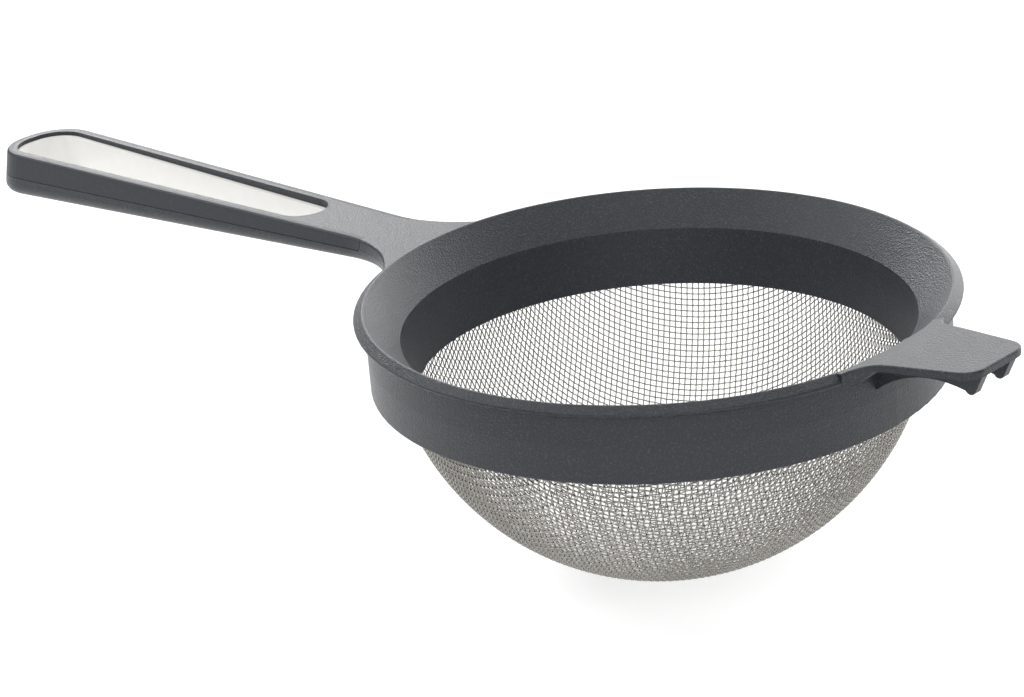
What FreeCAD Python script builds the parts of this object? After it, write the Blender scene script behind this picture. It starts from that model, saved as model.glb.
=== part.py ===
import FreeCAD, Part
import math
import os
from FreeCAD import Vector

# Tea strainer: a wire mesh bowl held in a moulded plastic ring, with a long flat handle on the -X side
# and a short rest tab on the +X side.
# Millimetres, +Z up. The origin is on the bowl's axis, level with the highest line of the ring's rim.
# A depth is measured down from that level, and a length along the handle or the tab starts at the lip.

# Rim, skirt and inner sleeve of the ring
lip_radius = 50.0
lip_slope_run = 1.6
lip_depth = 1.65
lip_edge_radius = 0.4
lip_overhang = 1.8
skirt_wall = 1.7
skirt_depth = 13.3
skirt_flare = 0.4
skirt_band_depth = 7.2
skirt_edge_radius = 0.25
cone_wall = 1.8
cone_run = 5.75
crease_depth = 5.6
sleeve_lean = 1.75
sleeve_depth = 15.5
sleeve_wall = 2.0

# Mesh bowl: a collar up the outside of the sleeve, and a round dome below it.
# A coarse grid of bars stands for the fine wires. The bars fan out from a level above the bowl.
mesh_thickness = 0.4
mesh_fit = 0.05
collar_top_depth = 8.0
bowl_depth = 48.7
mesh_windows = 12
mesh_bar_width = 1.8
mesh_rim_band = 1.5
mesh_fan_height = 30.0
mesh_turn = 31.5

# Ring that clamps the mesh collar inside the skirt
clamp_top_depth = 8.4
clamp_height = 4.0
clamp_fit = 0.05

# Handle: its half width is given at the end of the neck, and grows towards the tail
handle_top_depth = 2.1
handle_length = 116.9
neck_length = 14.0
handle_half_width = 5.75
handle_taper = 0.0288
handle_corner_radius = 7.6
handle_depth = 6.4
handle_depth_slope = 0.0412
handle_edge_radius = 1.8
handle_shoulder_radius = 0.6
neck_fillet_radius = 22.0
neck_step_depth = 2.5
side_bulge = 0.6
side_draft = 0.18

# Soft grip band round both sides and the tail of the handle
grip_start = 13.6
grip_recess = 0.5
grip_seam_depth = 4.2
grip_seam_slope = 0.0253
grip_end_radius = 0.9
grip_seam_gap = 0.1
grip_fit = 0.02

# Long slot through the handle, and the liner in it
rim_width = 1.45
slot_start = 30.8
slot_corner_radius = 6.1
liner_wall = 1.0
liner_corner_radius = 3.6
liner_neck_step = 1.5
liner_tail_step = 0.8
liner_fit = 0.02

# Rest tab with two ribs under it
tab_length = 17.8
tab_half_width = 9.83
tab_taper = 0.155
tab_rise = 1.22
tab_slope = 0.07
tab_thickness = 1.2
tab_corner_radius = 3.5
tab_root_length = 1.4
tab_root_fillet_radius = 5.5
tab_edge_radius = 0.35
ramp_foot_run = 3.0
ramp_slope = 0.29
ramp_blend = 3.0
rib_spacing = 7.4
rib_thickness = 1.5
rib_root_depth = 6.0
arch_length = 9.5
arch_depth = 1.3
tooth_length = 15.2
tooth_depth = 2.35
tooth_radius = 1.0
tooth_back_angle = -150.0
tooth_front_angle = -35.0

# Derived radii, and reaches measured out from the bowl's axis
skirt_radius = lip_radius - lip_overhang
skirt_inner_radius = skirt_radius - skirt_wall
root_radius = skirt_radius - skirt_wall / 2
crest_radius = lip_radius - lip_slope_run
crease_radius = crest_radius - cone_run
sleeve_mouth_radius = crease_radius - sleeve_lean
handle_station = lip_radius + neck_length
handle_reach = lip_radius + handle_length
grip_start_reach = lip_radius + grip_start
slot_start_reach = lip_radius + slot_start
tab_reach = lip_radius + tab_length
arch_reach = lip_radius + arch_length
tooth_reach = lip_radius + tooth_length
taper_cosine = math.sqrt(1 + handle_taper**2)
outside = 3 * lip_radius

# Two lengths closer than this count as equal
same_length = 0.01


def across(u, w):
    """A point of a plan drawing, as a vector at height 0."""
    return Vector(u, w, 0)


def upright(u, w):
    """A point of a side view or a revolved section, as a vector in the XZ plane."""
    return Vector(u, 0, w)


def rearward(reach, height):
    """A point of the handle's side view, as a vector in the XZ plane."""
    return Vector(-reach, 0, height)


def outline(place, start, *steps):
    """A closed wire: each step is an end point, or a middle point and an end point of an arc."""
    edges = []
    here = start
    for step in steps:
        if len(step) == 2 and isinstance(step[0], tuple):
            edges.append(Part.Arc(place(*here), place(*step[0]), place(*step[1])).toShape())
            here = step[1]
        else:
            edges.append(Part.makeLine(place(*here), place(*step)))
            here = step
    edges.append(Part.makeLine(place(*here), place(*start)))
    return Part.Wire(edges)


def revolved(wire):
    return Part.Face(wire).revolve(Vector(0, 0, 0), Vector(0, 0, 1), 360)


def lifted(wire, bottom, top):
    """The plan wire as a solid between two heights."""
    face = Part.Face(wire.translated(Vector(0, 0, bottom)))
    return face.extrude(Vector(0, 0, top - bottom))


def side_prism(wire, half_width):
    """The side view wire as a solid, as wide to the left as to the right."""
    face = Part.Face(wire.translated(Vector(0, -half_width, 0)))
    return face.extrude(Vector(0, 2 * half_width, 0))


def on_circle(centre, radius, angle):
    return (centre[0] + radius * math.cos(angle), centre[1] + radius * math.sin(angle))


def crossing(point_a, angle_a, point_b, angle_b):
    """Where two lines, each given by a point and an angle, cross."""
    gap = (point_b[0] - point_a[0], point_b[1] - point_a[1])
    turn = math.sin(angle_b - angle_a)
    run = (gap[0] * math.sin(angle_b) - gap[1] * math.cos(angle_b)) / turn
    return (point_a[0] + run * math.cos(angle_a), point_a[1] + run * math.sin(angle_a))


# Ring section: the cone rises to a crest with a small edge radius, and the lip slopes down outside it

crease = (crease_radius, -crease_depth)
sleeve_mouth = (sleeve_mouth_radius, -sleeve_depth)
sleeve_angle = math.atan2(crease[1] - sleeve_mouth[1], crease[0] - sleeve_mouth[0])


def crest_tangent():
    """Where the cone's line touches the crest's edge, and the line's angle."""
    centre = (crest_radius, -lip_edge_radius)
    run = math.dist(crease, centre)
    angle = math.atan2(centre[1] - crease[1], centre[0] - crease[0]) + math.asin(lip_edge_radius / run)
    return on_circle(centre, lip_edge_radius, angle + math.pi / 2), angle


def sleeve_face(offset, depth):
    """A point on the sleeve's outer face, or a given distance outside it, at a depth."""
    wall_point = on_circle(crease, sleeve_wall + offset, sleeve_angle - math.pi / 2)
    return crossing(wall_point, sleeve_angle, (0, -depth), 0)


def moulded_ring():
    crest = (crest_radius, -lip_edge_radius)
    tangent, cone_angle = crest_tangent()
    lip_corner = (lip_radius - lip_edge_radius, lip_edge_radius - lip_depth)
    lip_angle = math.atan2(lip_corner[1] - crest[1], lip_corner[0] - crest[0]) + math.pi / 2
    crest_middle = on_circle(crest, lip_edge_radius, (cone_angle + math.pi / 2 + lip_angle) / 2)
    outer_corner = (skirt_radius - skirt_edge_radius, skirt_edge_radius - skirt_depth)
    inner_corner = (skirt_inner_radius + skirt_edge_radius, skirt_edge_radius - skirt_depth)
    inner_middle = on_circle(inner_corner, skirt_edge_radius, -3 * math.pi / 4)
    under_cone = on_circle(crease, cone_wall, cone_angle - math.pi / 2)
    roof = crossing(under_cone, cone_angle, (skirt_inner_radius, 0), math.pi / 2)
    root = crossing(under_cone, cone_angle, sleeve_face(0, 0), sleeve_angle)
    section = outline(
        upright,
        crease,
        tangent,
        (crest_middle, on_circle(crest, lip_edge_radius, lip_angle)),
        on_circle(lip_corner, lip_edge_radius, lip_angle),
        (on_circle(lip_corner, lip_edge_radius, lip_angle / 2), (lip_radius, lip_corner[1])),
        (on_circle(lip_corner, lip_edge_radius, -math.pi / 4), (lip_corner[0], -lip_depth)),
        (skirt_radius - skirt_flare, -lip_depth),
        (skirt_radius, -skirt_band_depth),
        (skirt_radius, outer_corner[1]),
        (on_circle(outer_corner, skirt_edge_radius, -math.pi / 4), (outer_corner[0], -skirt_depth)),
        (inner_corner[0], -skirt_depth),
        (inner_middle, (skirt_inner_radius, inner_corner[1])),
        roof,
        root,
        sleeve_face(0, sleeve_depth),
        sleeve_mouth,
    )
    return revolved(section)


# Handle plans: distances are given out from the bowl's axis, and the handle runs to -X


def half_width_at(reach):
    return handle_half_width + handle_taper * (reach - handle_station)


def tail_corner(grow, radius):
    """Side point, middle point and end point of the tail's corner arc on the +Y side."""
    end = handle_reach + grow
    side = half_width_at(end - radius) + grow * taper_cosine
    centre = (end - radius, side - radius * taper_cosine)
    side_angle = math.pi / 2 + math.atan(handle_taper)
    return (
        on_circle(centre, radius, side_angle),
        on_circle(centre, radius, side_angle / 2),
        on_circle(centre, radius, 0),
    )


def root_arc(axis_width, taper, fillet_radius, ring_radius, grow):
    """Inner point, ring point, middle point and side point of a root fillet on the +Y side.

    The side line is axis_width wide at the bowl's axis, and grows by the taper."""
    stretch = math.sqrt(1 + taper**2)
    spread = ring_radius + fillet_radius
    rise = axis_width + fillet_radius * stretch
    root = math.sqrt(spread**2 * stretch**2 - rise**2)
    reach = (root - rise * taper) / stretch**2
    centre = (reach, rise + taper * reach)
    ring_angle = math.atan2(-centre[1], -centre[0])
    side_angle = math.atan(taper) - math.pi / 2
    radius = fillet_radius - grow
    shrink = root_radius / spread
    return (
        (centre[0] * shrink, centre[1] * shrink),
        on_circle(centre, radius, ring_angle),
        on_circle(centre, radius, (ring_angle + side_angle) / 2),
        on_circle(centre, radius, side_angle),
    )


def leftward(reach, y):
    return Vector(-reach, y, 0)


def mirrored(point):
    return (point[0], -point[1])


def handle_plan(grow, ring_radius):
    """The handle's outline with its neck, grown outwards by a distance."""
    neck = root_arc(half_width_at(0), handle_taper, neck_fillet_radius, ring_radius, grow)
    inner, ring, middle, side = neck
    corner_side, corner_middle, corner_end = tail_corner(grow, handle_corner_radius + grow)
    return outline(
        leftward,
        inner,
        ring,
        (middle, side),
        corner_side,
        (corner_middle, corner_end),
        mirrored(corner_end),
        (mirrored(corner_middle), mirrored(corner_side)),
        mirrored(side),
        (mirrored(middle), mirrored(ring)),
        mirrored(inner),
    )


def slot_plan(inset, corner_radius):
    """A loop inside the handle's outline: a full round at the neck end and two corners at the tail."""
    start = slot_start_reach - rim_width + inset
    width = half_width_at(start) / taper_cosine - inset
    radius = width / (1 - handle_taper / taper_cosine)
    centre = (start + radius, 0)
    side = on_circle(centre, radius, math.pi / 2 + math.atan(handle_taper))
    corner_side, corner_middle, corner_end = tail_corner(-inset, corner_radius)
    edges = [
        Part.Arc(leftward(*mirrored(side)), leftward(start, 0), leftward(*side)).toShape(),
        Part.makeLine(leftward(*side), leftward(*corner_side)),
        Part.Arc(leftward(*corner_side), leftward(*corner_middle), leftward(*corner_end)).toShape(),
        Part.makeLine(leftward(*corner_end), leftward(*mirrored(corner_end))),
        Part.Arc(
            leftward(*mirrored(corner_end)),
            leftward(*mirrored(corner_middle)),
            leftward(*mirrored(corner_side)),
        ).toShape(),
        Part.makeLine(leftward(*mirrored(corner_side)), leftward(*mirrored(side))),
    ]
    return Part.Wire(edges)


def top_height(reach):
    return -handle_top_depth


def underside_height(reach):
    return -(handle_depth + handle_depth_slope * (reach - handle_station))


def seam_height(reach):
    return -(grip_seam_depth + grip_seam_slope * (reach - grip_start_reach))


def above_underside():
    wire = outline(
        rearward,
        (0, underside_height(0)),
        (0, outside),
        (outside + handle_reach, outside),
        (outside + handle_reach, underside_height(outside + handle_reach)),
    )
    return side_prism(wire, outside)


def round_edges(body, height_at, radius):
    """The body with the outer edges rounded that lie at a height given by their reach."""
    chosen = []
    for edge in body.Edges:
        ends = [vertex.Point for vertex in edge.Vertexes]
        level = all(abs(point.z - height_at(-point.x)) < same_length for point in ends)
        outer = all(math.hypot(point.x, point.y) > skirt_radius for point in ends)
        if level and outer:
            chosen.append(edge)
    return body.makeFillet(radius, chosen)


def handle_outside():
    """The handle as one body: its sides lean out towards the underside, and its long edges are round."""
    bottom = underside_height(handle_reach + lip_radius)
    depth = -handle_top_depth - bottom
    upper = handle_plan(side_bulge, lip_radius).translated(Vector(0, 0, -handle_top_depth))
    lower = handle_plan(side_bulge + side_draft * depth, lip_radius).translated(Vector(0, 0, bottom))
    body = Part.makeLoft([upper, lower], True, True).common(above_underside())
    body = round_edges(body, underside_height, handle_edge_radius)
    return round_edges(body, top_height, handle_shoulder_radius)


def band_region(gap, core_grow):
    """The space of the grip band, grown by a gap, outside the core that it is wrapped round."""
    start = grip_start_reach - gap
    far = outside + handle_reach
    corner = (start + grip_end_radius, seam_height(start) + grip_end_radius - gap)
    wire = outline(
        rearward,
        (start, outside),
        (far, outside),
        (far, seam_height(far) - gap),
        (corner[0], seam_height(corner[0]) - gap),
        (on_circle(corner, grip_end_radius, -3 * math.pi / 4), (start, corner[1])),
    )
    core = lifted(handle_plan(core_grow, skirt_radius), -outside, outside)
    return side_prism(wire, outside).cut(core)


def handle_body():
    body = handle_outside().cut(band_region(grip_seam_gap, -grip_recess))
    under_lip = lifted(handle_plan(0, lip_radius), -neck_step_depth, -lip_depth)
    lip_inside = Part.makeCylinder(lip_radius - lip_edge_radius, outside, Vector(0, 0, -outside))
    body = body.fuse(under_lip.common(lip_inside))
    return body.cut(lifted(slot_plan(rim_width, slot_corner_radius), -outside, outside))


def grip_band():
    return handle_outside().common(band_region(0, grip_fit - grip_recess))


def tab_plan():
    """The tab's outline: straight sides that close in, and two round corners at the end."""
    slope = math.atan(tab_taper)
    stretch = 1 / math.cos(slope)
    centre_reach = tab_reach - tab_corner_radius
    side = tab_half_width - tab_taper * (centre_reach - lip_radius)
    centre = (centre_reach, side - tab_corner_radius * stretch)
    side_angle = math.pi / 2 - slope
    corner_side = on_circle(centre, tab_corner_radius, side_angle)
    corner_middle = on_circle(centre, tab_corner_radius, side_angle / 2)
    corner_end = on_circle(centre, tab_corner_radius, 0)
    axis_width = tab_half_width + tab_taper * lip_radius
    root = root_arc(axis_width, -tab_taper, tab_root_fillet_radius, lip_radius, 0)
    inner, ring, root_middle, root_side = root
    return outline(
        across,
        mirrored(inner),
        mirrored(ring),
        (mirrored(root_middle), mirrored(root_side)),
        mirrored(corner_side),
        (mirrored(corner_middle), mirrored(corner_end)),
        corner_end,
        (corner_middle, corner_side),
        root_side,
        (root_middle, ring),
        inner,
    )


def tab_height(reach):
    return tab_rise + tab_slope * (reach - lip_radius)


def ramp_height(reach):
    return ramp_slope * (reach - lip_radius + ramp_foot_run)


def tab_profile():
    """The tab's side view: a ramp out of the crest that blends into the flat top, and a root."""
    far = outside + tab_reach
    knee_run = (tab_rise - ramp_slope * ramp_foot_run) / (ramp_slope - tab_slope)
    knee = lip_radius + knee_run
    turn = math.atan(ramp_slope) - math.atan(tab_slope)
    sink = ramp_blend * math.tan(turn / 4)
    return outline(
        upright,
        (crease_radius, ramp_height(crease_radius)),
        (knee - ramp_blend, ramp_height(knee - ramp_blend)),
        ((knee, tab_height(knee) - sink), (knee + ramp_blend, tab_height(knee + ramp_blend))),
        (far, tab_height(far)),
        (far, tab_height(far) - tab_thickness),
        (lip_radius + tab_root_length, tab_height(lip_radius + tab_root_length) - tab_thickness),
        (lip_radius - lip_edge_radius, -lip_depth),
        (crease_radius, -lip_depth),
    )


def rounded_top(plate):
    """The plate with its top's outer edges rounded."""
    tops = [face for face in plate.Faces if face.normalAt(0, 0).z > math.cos(math.radians(45))]
    chosen = []
    for face in tops:
        others = [edge for other in tops if not other.isSame(face) for edge in other.Edges]
        for edge in face.Edges:
            shared = any(edge.isSame(other) for other in others)
            outer = all(vertex.X > root_radius * math.cos(math.pi / 4) for vertex in edge.Vertexes)
            if outer and not shared:
                chosen.append(edge)
    return plate.makeFillet(tab_edge_radius, chosen)


def tab_plate():
    plate = lifted(tab_plan(), -outside, outside).common(side_prism(tab_profile(), outside))
    inner = Part.makeCylinder(crest_radius, 2 * outside, Vector(0, 0, -outside))
    return rounded_top(plate).cut(inner)


def tab_rib(y):
    """A rib under the tab: an arch from the skirt, and a tooth with a round tip."""
    root = (root_radius, -rib_root_depth)
    arch_top = (arch_reach, -arch_depth)
    tooth = (tooth_reach, tooth_radius - tooth_depth)
    back_angle = math.radians(tooth_back_angle)
    front_angle = math.radians(tooth_front_angle)
    tooth_back = on_circle(tooth, tooth_radius, back_angle)
    tooth_tip = on_circle(tooth, tooth_radius, (back_angle + front_angle) / 2)
    tooth_front = on_circle(tooth, tooth_radius, front_angle)
    span = arch_top[0] - root[0]
    drop = arch_top[1] - root[1]
    big_radius = (span**2 + drop**2) / (2 * drop)
    half_turn = math.asin(span / big_radius) / 2
    big_centre = (arch_top[0], arch_top[1] - big_radius)
    big_middle = on_circle(big_centre, big_radius, math.pi / 2 + half_turn)
    short_span = tooth_back[0] - arch_top[0]
    short_drop = arch_top[1] - tooth_back[1]
    small_radius = (short_span**2 + short_drop**2) / (2 * short_drop)
    small_turn = math.asin(short_span / small_radius) / 2
    small_centre = (arch_top[0], arch_top[1] - small_radius)
    small_middle = on_circle(small_centre, small_radius, math.pi / 2 - small_turn)
    plate_middle = tab_thickness / 2
    end = tab_reach - tab_edge_radius
    wire = outline(
        upright,
        root,
        (big_middle, arch_top),
        (small_middle, tooth_back),
        (tooth_tip, tooth_front),
        (end, tab_height(end) - tab_thickness),
        (end - tab_thickness, tab_height(end) - plate_middle),
        (root_radius, tab_height(root_radius) - tab_thickness),
    )
    return side_prism(wire, rib_thickness / 2).translated(Vector(0, y, 0))


def strainer_frame():
    ring = moulded_ring()
    ribs = [tab_rib(rib_spacing / 2), tab_rib(-rib_spacing / 2)]
    inside = Part.makeCylinder(root_radius, 2 * outside, Vector(0, 0, -outside))
    handle = handle_body().cut(inside)
    return ring.fuse([handle, tab_plate()] + ribs).removeSplitter()


def opening_sides(number, depth):
    """The two sides of one opening in a row of the mesh, at a depth."""
    rim = sleeve_face(mesh_fit + mesh_thickness, sleeve_depth)
    half_fan = math.atan2(rim[0], mesh_fan_height + sleeve_depth)
    near = (2 * number / mesh_windows - 1) * half_fan
    far = (2 * (number + 1) / mesh_windows - 1) * half_fan
    fall = mesh_fan_height + depth
    return (
        (fall * math.sin(near) + mesh_bar_width / 2) / math.cos(near),
        (fall * math.sin(far) - mesh_bar_width / 2) / math.cos(far),
    )


def mesh_openings():
    """Wedges that leave crossing bars between them, and a whole band at the rim."""
    high = sleeve_depth + mesh_rim_band
    low = bowl_depth + mesh_rim_band
    openings = []
    for column in range(round(mesh_windows)):
        left_low, right_low = opening_sides(column, low)
        left_high, right_high = opening_sides(column, high)
        for row in range(round(mesh_windows)):
            near_low, far_low = opening_sides(row, low)
            near_high, far_high = opening_sides(row, high)
            wedge = Part.makeWedge(
                left_low, -low, near_low, near_high, left_high,
                right_low, -high, far_low, far_high, right_high,
            )
            wedge.rotate(Vector(0, 0, 0), Vector(1, 0, 0), 90)
            openings.append(wedge.rotated(Vector(0, 0, 0), Vector(0, 0, 1), mesh_turn))
    return openings


def dome_middle(pole, rim):
    """The middle of the arc from the pole to the rim, whose centre is on the axis."""
    rise = rim[1] - pole[1]
    radius = (rim[0] ** 2 + rise**2) / (2 * rise)
    centre = (0, pole[1] + radius)
    rim_angle = math.atan2(rim[1] - centre[1], rim[0])
    return on_circle(centre, radius, (rim_angle - math.pi / 2) / 2)


def mesh_shell():
    collar_in = sleeve_face(mesh_fit, collar_top_depth)
    collar_out = sleeve_face(mesh_fit + mesh_thickness, collar_top_depth)
    rim_in = sleeve_face(mesh_fit, sleeve_depth)
    rim_out = sleeve_face(mesh_fit + mesh_thickness, sleeve_depth)
    pole_in = (0, mesh_thickness - bowl_depth)
    pole_out = (0, -bowl_depth)
    section = outline(
        upright,
        pole_out,
        (dome_middle(pole_out, rim_out), rim_out),
        collar_out,
        collar_in,
        rim_in,
        (dome_middle(pole_in, rim_in), pole_in),
    )
    return revolved(section)


def mesh_bowl():
    return mesh_shell().cut(mesh_openings())


def mesh_clamp_ring():
    offset = mesh_fit + mesh_thickness + clamp_fit
    bottom_depth = clamp_top_depth + clamp_height
    outer_radius = skirt_inner_radius - clamp_fit
    section = outline(
        upright,
        sleeve_face(offset, clamp_top_depth),
        (outer_radius, -clamp_top_depth),
        (outer_radius, -bottom_depth),
        sleeve_face(offset, bottom_depth),
    )
    return revolved(section)


def handle_liner():
    """The liner follows the slot's wall, and its top edge slopes from the neck end to the tail."""
    outer = lifted(slot_plan(rim_width + liner_fit, slot_corner_radius - liner_fit), -outside, outside)
    inner = lifted(slot_plan(rim_width + liner_fit + liner_wall, liner_corner_radius), -outside, outside)
    tail = handle_reach - rim_width
    wire = outline(
        rearward,
        (slot_start_reach, -handle_top_depth - liner_neck_step),
        (tail, -handle_top_depth - liner_tail_step),
        (tail, underside_height(tail)),
        (slot_start_reach, underside_height(slot_start_reach)),
    )
    return outer.cut(inner).common(side_prism(wire, outside))


def write_node(name, shape):
    shape.exportStep("parts/" + name + ".step")
    box = shape.BoundBox
    print(name, "solids", len(shape.Solids), "valid", shape.isValid(), "volume", round(shape.Volume, 1),
          "x", round(box.XMin, 2), round(box.XMax, 2), "y", round(box.YMin, 2), round(box.YMax, 2),
          "z", round(box.ZMin, 2), round(box.ZMax, 2))


def main():
    os.makedirs("parts", exist_ok=True)
    write_node("strainer_frame", strainer_frame())
    write_node("mesh_bowl", mesh_bowl())
    write_node("mesh_clamp_ring", mesh_clamp_ring())
    write_node("grip_band", grip_band())
    write_node("handle_liner", handle_liner())


main()
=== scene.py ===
import math

import bpy
import numpy as np
from mathutils import Euler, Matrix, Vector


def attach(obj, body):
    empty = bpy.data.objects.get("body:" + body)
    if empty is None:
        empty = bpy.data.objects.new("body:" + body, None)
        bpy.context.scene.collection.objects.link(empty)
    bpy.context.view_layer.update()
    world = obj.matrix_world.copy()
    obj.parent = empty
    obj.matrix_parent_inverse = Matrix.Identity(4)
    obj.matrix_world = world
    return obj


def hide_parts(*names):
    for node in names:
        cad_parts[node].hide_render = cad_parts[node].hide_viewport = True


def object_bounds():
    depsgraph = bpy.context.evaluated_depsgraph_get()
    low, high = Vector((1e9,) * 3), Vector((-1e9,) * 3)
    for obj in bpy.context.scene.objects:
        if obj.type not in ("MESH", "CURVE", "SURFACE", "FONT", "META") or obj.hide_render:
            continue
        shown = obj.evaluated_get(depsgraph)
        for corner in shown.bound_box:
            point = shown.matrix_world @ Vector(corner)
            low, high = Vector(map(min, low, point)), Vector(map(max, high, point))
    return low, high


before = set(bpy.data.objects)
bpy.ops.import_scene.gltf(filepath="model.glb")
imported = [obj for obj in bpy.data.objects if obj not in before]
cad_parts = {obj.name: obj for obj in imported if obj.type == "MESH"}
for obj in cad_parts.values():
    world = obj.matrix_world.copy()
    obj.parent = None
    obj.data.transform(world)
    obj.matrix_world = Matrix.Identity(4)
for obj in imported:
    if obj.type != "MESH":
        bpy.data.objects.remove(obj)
cadBox = [list(map(float, corner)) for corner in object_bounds()]
print("frame loaded: tea strainer,", len(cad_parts), "solids")


# helpers

def newMesh(name, points, quads, caps=()):
    # points and faces as whole arrays; caps are faces with any number of corners
    mesh = bpy.data.meshes.new(name)
    faces = [tuple(q) for q in np.asarray(quads).tolist()] + [tuple(c) for c in caps]
    mesh.from_pydata(np.asarray(points).tolist(), [], faces)
    mesh.polygons.foreach_set("use_smooth", np.ones(len(mesh.polygons), dtype=bool))
    mesh.validate()
    mesh.update()
    piece = bpy.data.objects.new(name, mesh)
    bpy.context.scene.collection.objects.link(piece)
    return piece


def newMaterial(name):
    material = bpy.data.materials.new(name)
    material.use_nodes = True
    tree = material.node_tree
    shader = tree.nodes["Principled BSDF"]
    return material, tree, shader


def groupOf(tree, group, values):
    node = tree.nodes.new("ShaderNodeGroup")
    node.node_tree = group
    for socket, value in values.items():
        node.inputs[socket].default_value = value
    return node


# shared effects

grainShape = {"detail": 2.0, "roughness": 0.6}


def grainGroup(shape):
    # spark-eroded grain: height = depth * noise(Object coordinates / grain size); Speckle is the noise, also
    # the mask for the painted glints and specks in the plastics' colour
    group = bpy.data.node_groups.new("moulded grain", "ShaderNodeTree")
    face = group.interface
    face.new_socket("Grain size mm", in_out="INPUT", socket_type="NodeSocketFloat")
    face.new_socket("Depth mm", in_out="INPUT", socket_type="NodeSocketFloat")
    face.new_socket("Normal", in_out="OUTPUT", socket_type="NodeSocketVector")
    face.new_socket("Speckle and glint", in_out="OUTPUT", socket_type="NodeSocketFloat")
    nodes, links = group.nodes, group.links
    inside = nodes.new("NodeGroupInput")
    outside = nodes.new("NodeGroupOutput")
    place = nodes.new("ShaderNodeTexCoord")
    perMetre = nodes.new("ShaderNodeMath")
    perMetre.operation = "DIVIDE"
    perMetre.inputs[0].default_value = 1000.0      # millimetres in a metre
    noise = nodes.new("ShaderNodeTexNoise")
    noise.inputs["Detail"].default_value = shape["detail"]
    noise.inputs["Roughness"].default_value = shape["roughness"]
    depth = nodes.new("ShaderNodeMath")
    depth.operation = "MULTIPLY"
    depth.inputs[1].default_value = 0.001          # metres in a millimetre
    bump = nodes.new("ShaderNodeBump")
    bump.inputs["Strength"].default_value = 1.0
    links.new(inside.outputs["Grain size mm"], perMetre.inputs[1])
    links.new(place.outputs["Object"], noise.inputs["Vector"])
    links.new(perMetre.outputs[0], noise.inputs["Scale"])
    links.new(inside.outputs["Depth mm"], depth.inputs[0])
    links.new(depth.outputs[0], bump.inputs["Distance"])
    links.new(noise.outputs["Fac"], bump.inputs["Height"])
    links.new(bump.outputs["Normal"], outside.inputs["Normal"])
    links.new(noise.outputs["Fac"], outside.inputs["Speckle and glint"])
    return group


grain = grainGroup(grainShape)


def plasticMaterial(name, look):
    # moulded plastic: the colour goes from colour to the speck colour as the noise goes from the low to the
    # high end of the speck range; the frame's light specks are painted glints, the liner's darker ones
    # random tone
    material, tree, shader = newMaterial(name)
    texture = groupOf(tree, grain, {"Grain size mm": look["grainMm"], "Depth mm": look["grainDepthMm"]})
    blend = tree.nodes.new("ShaderNodeMix")
    blend.data_type = "RGBA"
    blend.inputs["A"].default_value = (*look["colour"], 1)
    blend.inputs["B"].default_value = (*look["speckleAndGlintColour"], 1)
    curve = tree.nodes.new("ShaderNodeMapRange")
    curve.inputs["From Min"].default_value = look["speckleAndGlintFrom"]
    curve.inputs["From Max"].default_value = look["speckleAndGlintTo"]
    tree.links.new(texture.outputs["Speckle and glint"], curve.inputs["Value"])
    tree.links.new(curve.outputs["Result"], blend.inputs["Factor"])
    tree.links.new(blend.outputs["Result"], shader.inputs["Base Color"])
    tree.links.new(texture.outputs["Normal"], shader.inputs["Normal"])
    shader.inputs["Roughness"].default_value = look["roughness"]
    shader.inputs["IOR"].default_value = look["ior"]
    return material


def dress(node, material):
    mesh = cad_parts[node].data
    mesh.materials.clear()
    mesh.materials.append(material)


frameLook = {
    "colour": (0.017, 0.021, 0.028),
    # light specks: painted glints on the spark-eroded grain, on top of its real bumps
    "speckleAndGlintColour": (0.050, 0.055, 0.065),
    "speckleAndGlintFrom": 0.54,
    "speckleAndGlintTo": 0.72,
    "roughness": 0.36,
    "ior": 1.5,
    "grainMm": 0.34,
    "grainDepthMm": 0.16,
}
framePlastic = plasticMaterial("frame plastic", frameLook)
dress("strainer_frame", framePlastic)
dress("mesh_clamp_ring", framePlastic)

gripLook = {
    "colour": (0.021, 0.025, 0.034),
    "speckleAndGlintColour": (0.034, 0.038, 0.048),
    "speckleAndGlintFrom": 0.50,
    "speckleAndGlintTo": 0.80,
    "roughness": 0.5,
    "ior": 1.5,
    "grainMm": 0.6,
    "grainDepthMm": 0.02,
}
dress("grip_band", plasticMaterial("soft grip", gripLook))

linerLook = {
    "colour": (0.93, 0.925, 0.90),
    "speckleAndGlintColour": (0.91, 0.90, 0.87),
    "speckleAndGlintFrom": 0.3,
    "speckleAndGlintTo": 0.8,
    "roughness": 0.3,
    "ior": 1.5,
    "grainMm": 3.0,
    "grainDepthMm": 0.01,
}
dress("handle_liner", plasticMaterial("cream liner", linerLook))
print("plastic, grip and liner dressed")


# woven wire bowl

bowl = {
    "pitch": 0.00103,         # from wire to wire
    "wireRadius": 0.00012,
    "sides": 5,               # faces round a wire
    "stepsPerPitch": 3,
    "turnDegrees": 31.5,      # of the weave about the bowl's axis
    "poleHeight": -0.0485,
    "rimRadius": 0.043185,    # of the wires' middle surface at the sleeve's lower edge
    "rimHeight": -0.0155,
    "collarLean": 0.1750,     # radians from upright
    "collarTop": -0.0082,
    "netReach": 1.9,          # size of the quarter net, in lengths from the pole to the collar's top
}


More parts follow.
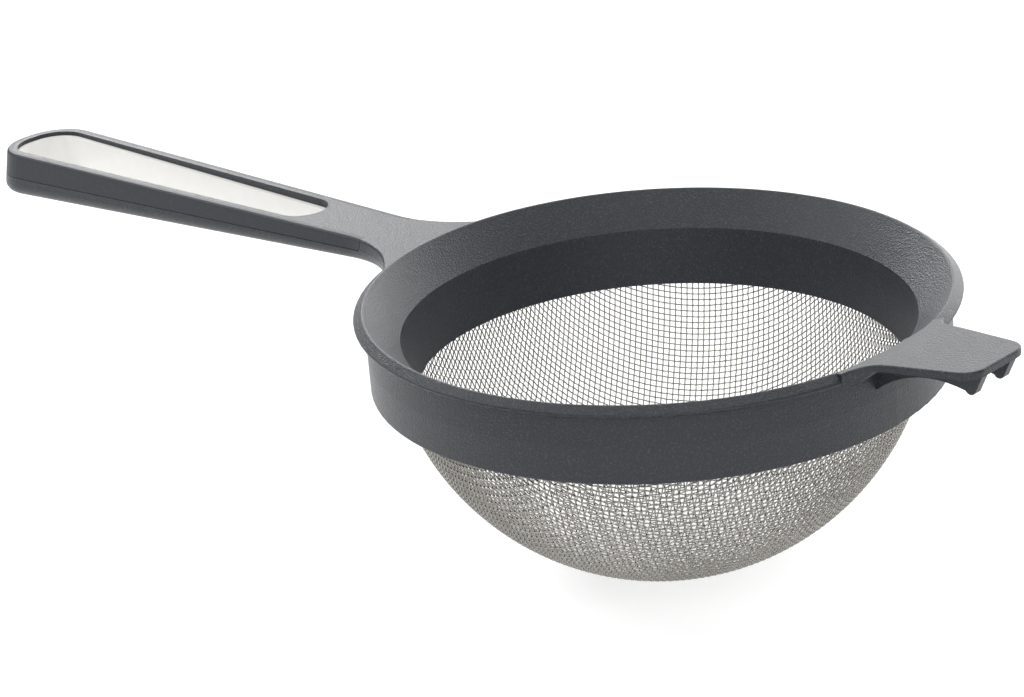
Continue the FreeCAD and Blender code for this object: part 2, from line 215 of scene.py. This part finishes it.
def netOnSphere(radius, pitch, count):
    # fishnet of equal steps: each knot is one pitch from the knots before it along both wires, so it is
    # a(A + B) + b(A x B), with a from the chord length and b from the sphere's radius. Worked by diagonals.
    net = np.full((count, count, 3), np.nan)
    angle = np.arange(count) * 2 * math.asin(pitch / (2 * radius))
    net[:, 0] = np.stack([radius * np.sin(angle), 0 * angle, -radius * np.cos(angle)], 1)
    net[0, :] = np.stack([0 * angle, radius * np.sin(angle), -radius * np.cos(angle)], 1)
    inner = radius ** 2 - pitch ** 2 / 2
    for diagonal in range(2, 2 * count - 1):
        i = np.arange(max(1, diagonal - count + 1), min(count - 1, diagonal - 1) + 1)
        j = diagonal - i
        a, b, back = net[i - 1, j], net[i, j - 1], net[i - 1, j - 1]
        along = inner / (radius ** 2 + (a * b).sum(1))
        cross = np.cross(a, b)
        rest = radius ** 2 - along ** 2 * ((a + b) ** 2).sum(1)
        with np.errstate(invalid="ignore", divide="ignore"):
            side = np.sqrt(rest / (cross ** 2).sum(1))
        side *= np.sign((cross * (a + b - 2 * back)).sum(1))
        net[i, j] = along[:, None] * (a + b) + side[:, None] * cross
    return net


def bowlSurface(run, around, lift, shape):
    # run is the length along the bowl from its pole, lift the distance out from the middle surface:
    # a round dome up to the rim, then a straight collar that leans out
    rise = shape["rimHeight"] - shape["poleHeight"]
    radius = (shape["rimRadius"] ** 2 + rise ** 2) / (2 * rise)
    centre = shape["poleHeight"] + radius
    rimRun = radius * math.atan2(shape["rimRadius"], centre - shape["rimHeight"])
    domeRun = np.minimum(run, rimRun)
    collarRun = np.maximum(run - rimRun, 0)
    lean = shape["collarLean"]
    onCollar = run > rimRun
    outR = np.where(onCollar, math.cos(lean), np.sin(domeRun / radius))
    outZ = np.where(onCollar, -math.sin(lean), -np.cos(domeRun / radius))
    flatR = radius * np.sin(domeRun / radius) + collarRun * math.sin(lean) + lift * outR
    flatZ = centre - radius * np.cos(domeRun / radius) + collarRun * math.cos(lean) + lift * outZ
    normal = np.stack([outR * np.cos(around), outR * np.sin(around), outZ], -1)
    return np.stack([flatR * np.cos(around), flatR * np.sin(around), flatZ], -1), normal, radius, rimRun


def wireTube(centres, normals, radius, sides, start):
    # a ring of points round each centre, at radius * (cos a * normal + sin a * binormal)
    tangent = np.gradient(centres, axis=0)
    tangent /= np.linalg.norm(tangent, axis=1, keepdims=True)
    binormal = np.cross(tangent, normals)
    binormal /= np.linalg.norm(binormal, axis=1, keepdims=True)
    upright = np.cross(binormal, tangent)
    angle = np.arange(sides) * 2 * math.pi / sides
    ring = np.cos(angle)[None, :, None] * upright[:, None] + np.sin(angle)[None, :, None] * binormal[:, None]
    points = (centres[:, None] + radius * ring).reshape(-1, 3)
    rings = len(centres)
    k, s = np.meshgrid(np.arange(rings - 1), np.arange(sides), indexing="ij")
    after = (s + 1) % sides
    quads = np.stack([k * sides + s, k * sides + after, (k + 1) * sides + after, (k + 1) * sides + s], -1)
    first = [start + v for v in range(sides)][::-1]
    last = [start + (rings - 1) * sides + v for v in range(sides)]
    return points, quads.reshape(-1, 4) + start, [first, last]


def wovenBowl(shape):
    # each wire follows one line of knots and swings over and under the middle surface:
    # lift = +-wireRadius * cos(pi * (knot number + wire number)), plus for the warp and minus for the weft
    pitch, sides, steps = shape["pitch"], shape["sides"], shape["stepsPerPitch"]
    _, _, radius, rimRun = bowlSurface(np.zeros(1), np.zeros(1), 0, shape)
    endRun = rimRun + (shape["collarTop"] - shape["rimHeight"]) / math.cos(shape["collarLean"])
    count = int(shape["netReach"] * endRun / pitch)
    net = netOnSphere(radius, pitch, count)
    run = radius * np.arccos(np.clip(-net[..., 2] / radius, -1, 1))
    around = np.arctan2(net[..., 1], net[..., 0])
    halves = {}
    for family in ("warp", "weft"):
        for part in ("A", "B"):
            halves[family + part] = ([], [], [], 0)
    # signed wire numbers: the quarter net is mirrored about both middle wires
    number = np.arange(-count + 1, count)
    fullRun = run[np.abs(number)[:, None], np.abs(number)[None, :]]
    quarter = around[np.abs(number)[:, None], np.abs(number)[None, :]]
    flipX = number[:, None] < 0
    flipY = number[None, :] < 0
    fullAround = np.where(flipX, math.pi - quarter, quarter)
    fullAround = np.where(flipY, -fullAround, fullAround)
    for family in ("warp", "weft"):
        for index, which in enumerate(number):
            line = fullRun[:, index] if family == "warp" else fullRun[index, :]
            turn = fullAround[:, index] if family == "warp" else fullAround[index, :]
            # from the wire's middle outwards, to the last knot below the collar's top
            inside = np.isfinite(line) & (line <= endRun)
            if not inside[count - 1]:
                continue
            high = count - 2 + (np.append(inside[count - 1:], False) == 0).argmax()
            low = count - (np.append(inside[count - 1::-1], False) == 0).argmax()
            flat = np.stack([line * np.cos(turn), line * np.sin(turn)], 1)[low:high + 1]
            knots = number[low:high + 1].astype(float)
            if len(knots) < 2:
                continue
            t = np.arange(0, (len(knots) - 1) * steps + 1) / steps
            x = np.interp(t, np.arange(len(knots)), flat[:, 0])
            y = np.interp(t, np.arange(len(knots)), flat[:, 1])
            over = 1 if family == "warp" else -1
            lift = over * shape["wireRadius"] * np.cos(math.pi * (t + knots[0] + which))
            centres, normals, _, _ = bowlSurface(np.hypot(x, y), np.arctan2(y, x), lift, shape)
            part = family + ("A" if which < 0 else "B")
            points, quads, caps, start = halves[part]
            p, q, c = wireTube(centres, normals, shape["wireRadius"], sides, start)
            points.append(p)
            quads.append(q)
            caps.extend(c)
            halves[part] = (points, quads, caps, start + len(p))
    turn = math.radians(shape["turnDegrees"])
    spin = np.array([[math.cos(turn), math.sin(turn), 0], [-math.sin(turn), math.cos(turn), 0], [0, 0, 1]])
    pieces = []
    for part, (points, quads, caps, _) in halves.items():
        pieces.append(newMesh(part + "Wires", np.concatenate(points) @ spin, np.concatenate(quads), caps))
    return pieces


wires = wovenBowl(bowl)
wireLook = {
    "colour": (0.42, 0.41, 0.38),
    "darkColour": (0.22, 0.21, 0.195),
    "patchesPerMetre": 900.0,
    "roughness": 0.24,
}


def wireMaterial(look):
    # drawn steel wire: metal whose colour goes from darkColour to colour with a noise
    material, tree, shader = newMaterial("steel wire")
    place = tree.nodes.new("ShaderNodeTexCoord")
    noise = tree.nodes.new("ShaderNodeTexNoise")
    noise.inputs["Scale"].default_value = look["patchesPerMetre"]
    blend = tree.nodes.new("ShaderNodeMix")
    blend.data_type = "RGBA"
    blend.inputs["A"].default_value = (*look["darkColour"], 1)
    blend.inputs["B"].default_value = (*look["colour"], 1)
    tree.links.new(place.outputs["Object"], noise.inputs["Vector"])
    tree.links.new(noise.outputs["Fac"], blend.inputs["Factor"])
    tree.links.new(blend.outputs["Result"], shader.inputs["Base Color"])
    shader.inputs["Metallic"].default_value = 1.0
    shader.inputs["Roughness"].default_value = look["roughness"]
    return material


wireMetal = wireMaterial(wireLook)
for piece in wires:
    piece.data.materials.append(wireMetal)
    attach(piece, "root")
    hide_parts("mesh_bowl")
    print(piece.name, len(piece.data.polygons), "faces")


# floor, light and camera

studio = {
    "floorHalf": 1.2,         # from the middle to an edge
    "floorColour": (0.6, 0.6, 0.6),
    "floorRoughness": 0.9,
    "floorSpecular": 0.1,
    "floorGlow": 0.55,        # seen by the camera, in reflections and through glass only
    "skyLow": 1.0,            # at the horizon
    "skyHigh": 0.30,          # overhead
    "skyFrom": 0.02,          # sines of the heights between which the sky fades
    "skyTo": 0.16,
}
lamps = {
    "top lamp": {"place": (-0.15, 0.25, 0.9), "size": (0.9, 0.9), "power": 4.0},
    "back lamp": {"place": (-0.14, 0.92, 0.32), "size": (1.4, 0.7), "power": 6.6},     # low and wide
    "neck lamp": {"place": (-0.80, 0.48, 0.36), "size": (0.45, 0.45), "power": 3.2},   # low, past the handle
    "left lamp": {"place": (-0.72, -0.42, 0.68), "size": (0.5, 0.5), "power": 3.6},
    "front lamp": {"place": (0.62, -0.62, 0.62), "size": (0.8, 0.8), "power": 4.0},
}


def whiteStage(look):
    half = look["floorHalf"]
    level = cadBox[0][2]
    corners = [(-half, -half, level), (half, -half, level), (half, half, level), (-half, half, level)]
    floor = newMesh("floor", corners, [(0, 1, 2, 3)])
    material, tree, shader = newMaterial("white floor")
    shader.inputs["Base Color"].default_value = (*look["floorColour"], 1)
    shader.inputs["Roughness"].default_value = look["floorRoughness"]
    shader.inputs["Specular IOR Level"].default_value = look["floorSpecular"]
    shader.inputs["Emission Color"].default_value = (1, 1, 1, 1)
    path = tree.nodes.new("ShaderNodeLightPath")
    seen = tree.nodes.new("ShaderNodeMath")
    seen.operation = "MAXIMUM"
    seenThrough = tree.nodes.new("ShaderNodeMath")
    seenThrough.operation = "MAXIMUM"
    glow = tree.nodes.new("ShaderNodeMath")
    glow.operation = "MULTIPLY"
    glow.inputs[1].default_value = look["floorGlow"]
    tree.links.new(path.outputs["Is Camera Ray"], seen.inputs[0])
    tree.links.new(path.outputs["Is Glossy Ray"], seen.inputs[1])
    tree.links.new(seen.outputs[0], seenThrough.inputs[0])
    tree.links.new(path.outputs["Is Transmission Ray"], seenThrough.inputs[1])
    tree.links.new(seenThrough.outputs[0], glow.inputs[0])
    tree.links.new(glow.outputs[0], shader.inputs["Emission Strength"])
    floor.data.materials.append(material)


def whiteWorld(look):
    # white at the horizon, greyer overhead
    world = bpy.data.worlds.new("studio")
    bpy.context.scene.world = world
    world.use_nodes = True
    tree = world.node_tree
    sky = tree.nodes["Background"]
    sky.inputs["Color"].default_value = (1, 1, 1, 1)
    place = tree.nodes.new("ShaderNodeTexCoord")
    split = tree.nodes.new("ShaderNodeSeparateXYZ")
    level = tree.nodes.new("ShaderNodeMapRange")
    level.interpolation_type = "SMOOTHSTEP"
    level.inputs["From Min"].default_value = look["skyFrom"]
    level.inputs["From Max"].default_value = look["skyTo"]
    level.inputs["To Min"].default_value = look["skyLow"]
    level.inputs["To Max"].default_value = look["skyHigh"]
    tree.links.new(place.outputs["Generated"], split.inputs["Vector"])
    tree.links.new(split.outputs["Z"], level.inputs["Value"])
    tree.links.new(level.outputs["Result"], sky.inputs["Strength"])


def softLamp(name, look):
    # an oval lamp that faces the origin
    light = bpy.data.lights.new(name, "AREA")
    light.shape = "ELLIPSE"
    light.size, light.size_y = look["size"]
    light.energy = look["power"]
    lamp = bpy.data.objects.new(name, light)
    lamp.location = look["place"]
    aim = np.array(look["place"]) / np.linalg.norm(look["place"])
    lamp.rotation_euler = (math.acos(aim[2]), 0, math.atan2(aim[1], aim[0]) + math.pi / 2)
    bpy.context.scene.collection.objects.link(lamp)


cameraLook = {
    "place": (0.29613, -0.33146, 0.17243),
    "turn": (67.7106, 4.4058, 43.1164),
    "lens": 101.953,
    "sensor": 36.0,
    "nearest": 0.01,
}


def setCamera(look):
    eye = bpy.data.cameras.new("camera")
    eye.lens = look["lens"]
    eye.sensor_width = look["sensor"]
    eye.sensor_fit = "HORIZONTAL"
    eye.clip_start = look["nearest"]
    holder = bpy.data.objects.new("camera", eye)
    holder.location = look["place"]
    holder.rotation_euler = Euler([math.radians(angle) for angle in look["turn"]], "XYZ")
    bpy.context.scene.collection.objects.link(holder)
    bpy.context.scene.camera = holder


whiteStage(studio)
whiteWorld(studio)
for lampName, lampLook in lamps.items():
    softLamp(lampName, lampLook)
setCamera(cameraLook)
bpy.context.scene.view_settings.view_transform = "Standard"
print("floor, light and camera set")
